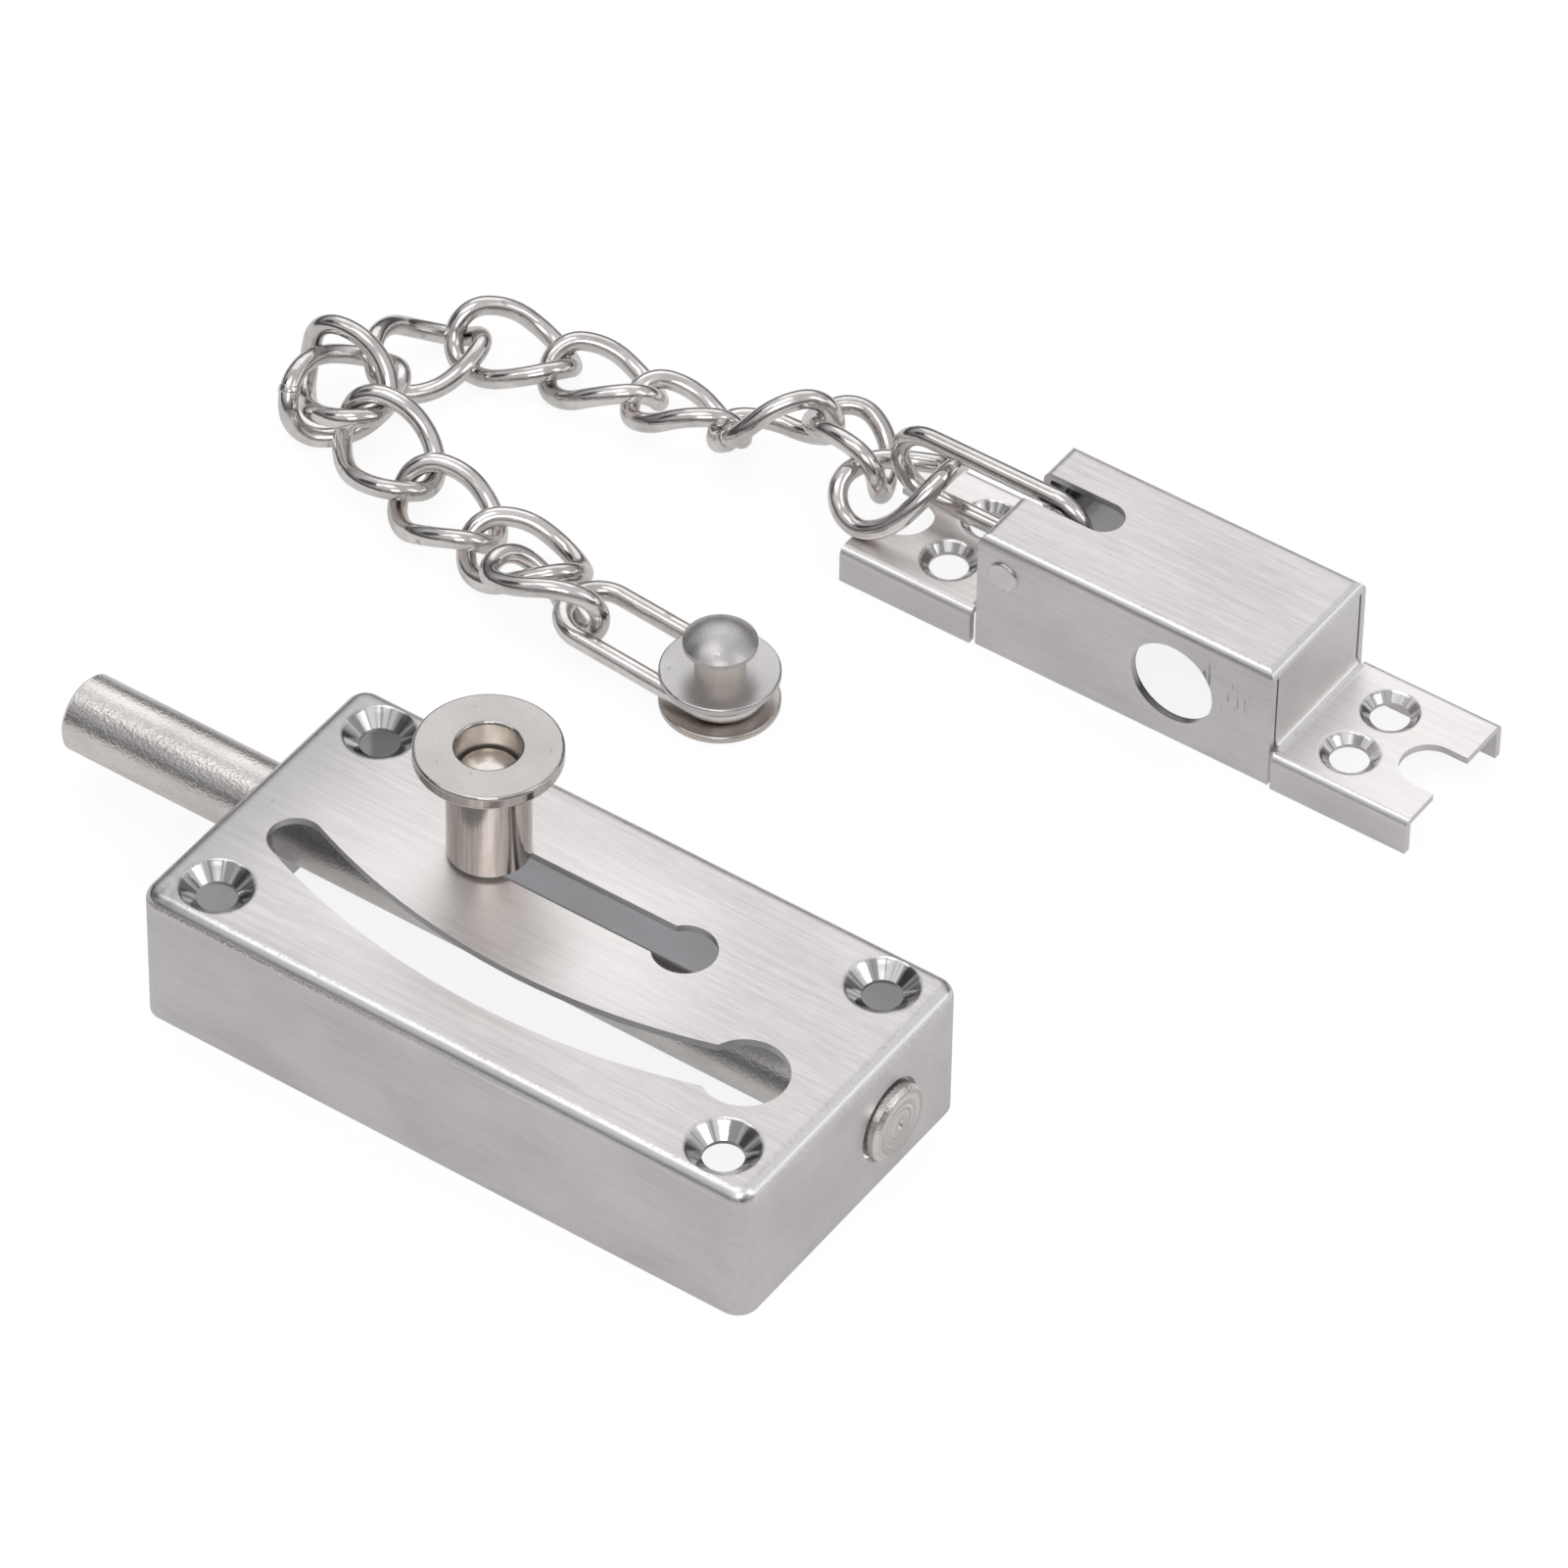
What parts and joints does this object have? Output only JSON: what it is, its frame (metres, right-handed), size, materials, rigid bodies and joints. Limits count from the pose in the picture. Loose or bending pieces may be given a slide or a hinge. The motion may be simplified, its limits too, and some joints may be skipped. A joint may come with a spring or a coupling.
{
  "type": "sliding bolt with door chain",
  "caption": "Stainless door bolt case with round sliding bolt and pull knob, curved chain slot, and a keeper that carries a curb link chain with a button.",
  "frame": {"origin": "middle of the open back of the bolt case, on the door's surface", "axes": "+X from the bolt's nose to its tail, +Y from the case to the keeper as they are laid out, +Z away from the door"},
  "size_m": [0.1581, 0.1306, 0.037],
  "materials": {
    "brushed_case": "brushed along its length, satin",
    "brushed_keeper": "brushed along its length, satin",
    "plated_bolt": "smooth nickel plate with fine lengthwise bands",
    "knob": "polished nickel plate",
    "knob_pin": "satin nickel plate",
    "spring": "plain spring steel",
    "rivet": "satin",
    "chain": "polished nickel plate",
    "button": "polished nickel plate with fine scratches"
  },
  "bodies": {
    "plates": {"case": "brushed_case", "keeper": "brushed_keeper", "keeper_pin": "rivet"},
    "bolt": {"bolt": "plated_bolt", "knob_pin": "knob_pin", "knob_spring": "spring"},
    "knob": {"knob_sleeve": "knob"},
    "keeper_ring": {"keeper_ring": "chain"},
    "chain_link_01": {"chain_link_01": "chain"},
    "chain_link_02": {"chain_link_02": "chain"},
    "chain_link_03": {"chain_link_03": "chain"},
    "chain_link_04": {"chain_link_04": "chain"},
    "chain_link_05": {"chain_link_05": "chain"},
    "chain_link_06": {"chain_link_06": "chain"},
    "chain_link_07": {"chain_link_07": "chain"},
    "chain_link_08": {"chain_link_08": "chain"},
    "chain_link_09": {"chain_link_09": "chain"},
    "chain_link_10": {"chain_link_10": "chain"},
    "chain_link_11": {"chain_link_11": "chain"},
    "chain_link_12": {"chain_link_12": "chain"},
    "chain_link_13": {"chain_link_13": "chain"},
    "end_link": {"end_link": "chain"},
    "button": {"button_stud": "button", "button_upper_disc": "button", "button_lower_disc": "button"}
  },
  "joints": [
    {"name": "bolt_slide", "type": "slide", "parent": "plates", "child": "bolt", "axis": [1, 0, 0], "range_m": [0, 0.0281]},
    {"name": "knob_lift", "type": "slide", "parent": "bolt", "child": "knob", "axis": [0, 0, 1], "range_m": [0, 0.002], "stiffness_N_per_m": 400, "springref_m": -0.003, "deforming": ["knob_spring"]},
    {"name": "ring_swing", "type": "hinge", "parent": "plates", "child": "keeper_ring", "pos_m": [0.0049, 0.0991, 0.0132], "axis": [0, 1, 0], "range_deg": [0, 90]},
    {"name": "chain_link_01_swing", "type": "hinge", "parent": "keeper_ring", "child": "chain_link_01", "pos_m": [-0.01719, 0.0991, 0.0098], "axis": [0, 0, -1], "range_deg": [-20, 20]},
    {"name": "chain_link_02_swing", "type": "hinge", "parent": "chain_link_01", "child": "chain_link_02", "pos_m": [-0.02051, 0.09601, 0.01164], "axis": [0, 0, -1], "range_deg": [-36, 6]},
    {"name": "chain_link_03_swing", "type": "hinge", "parent": "chain_link_02", "child": "chain_link_03", "pos_m": [-0.03024, 0.10223, 0.00992], "axis": [0, 0, 1], "range_deg": [-60, 20]},
    {"name": "chain_link_04_swing", "type": "hinge", "parent": "chain_link_03", "child": "chain_link_04", "pos_m": [-0.04127, 0.09778, 0.00513], "axis": [0, 0, -1], "range_deg": [-15, 60]},
    {"name": "chain_link_05_swing", "type": "hinge", "parent": "chain_link_04", "child": "chain_link_05", "pos_m": [-0.05404, 0.09722, 0.00435], "axis": [0, 0, 1], "range_deg": [-18, 12]},
    {"name": "chain_link_06_swing", "type": "hinge", "parent": "chain_link_05", "child": "chain_link_06", "pos_m": [-0.06954, 0.09671, 0.00287], "axis": [0, 0, -1], "range_deg": [-12, 15]},
    {"name": "chain_link_07_swing", "type": "hinge", "parent": "chain_link_06", "child": "chain_link_07", "pos_m": [-0.08135, 0.09225, 0.00299], "axis": [0, 0, -1], "range_deg": [-6, 45]},
    {"name": "chain_link_08_swing", "type": "hinge", "parent": "chain_link_07", "child": "chain_link_08", "pos_m": [-0.08439, 0.08007, 0.00486], "axis": [0, 0, -1], "range_deg": [-12, 15]},
    {"name": "chain_link_09_swing", "type": "hinge", "parent": "chain_link_08", "child": "chain_link_09", "pos_m": [-0.09063, 0.07737, 0.00692], "axis": [0.1675, 0.8939, -0.4157], "range_deg": [-60, 0]},
    {"name": "chain_link_10_swing", "type": "hinge", "parent": "chain_link_09", "child": "chain_link_10", "pos_m": [-0.08144, 0.07276, 0.00797], "axis": [0, 0, 1], "range_deg": [-12, 12]},
    {"name": "chain_link_11_swing", "type": "hinge", "parent": "chain_link_10", "child": "chain_link_11", "pos_m": [-0.07063, 0.06734, 0.00354], "axis": [0, 0, 1], "range_deg": [-20, 9]},
    {"name": "chain_link_12_swing", "type": "hinge", "parent": "chain_link_11", "child": "chain_link_12", "pos_m": [-0.05821, 0.06393, 0.00357], "axis": [0, 0, 1], "range_deg": [-20, 18]},
    {"name": "chain_link_13_swing", "type": "hinge", "parent": "chain_link_12", "child": "chain_link_13", "pos_m": [-0.04671, 0.06325, 0.0044], "axis": [0, 0, 1], "range_deg": [-45, 6]},
    {"name": "end_link_swing", "type": "hinge", "parent": "chain_link_13", "child": "end_link", "pos_m": [-0.03559, 0.05935, 0.0039], "axis": [0, 0, -1], "range_deg": [-24, 50]},
    {"name": "button_turn", "type": "hinge", "parent": "end_link", "child": "button", "pos_m": [-0.01835, 0.06085, 0.0027], "axis": [0, 0, 1], "continuous": true}
  ]
}
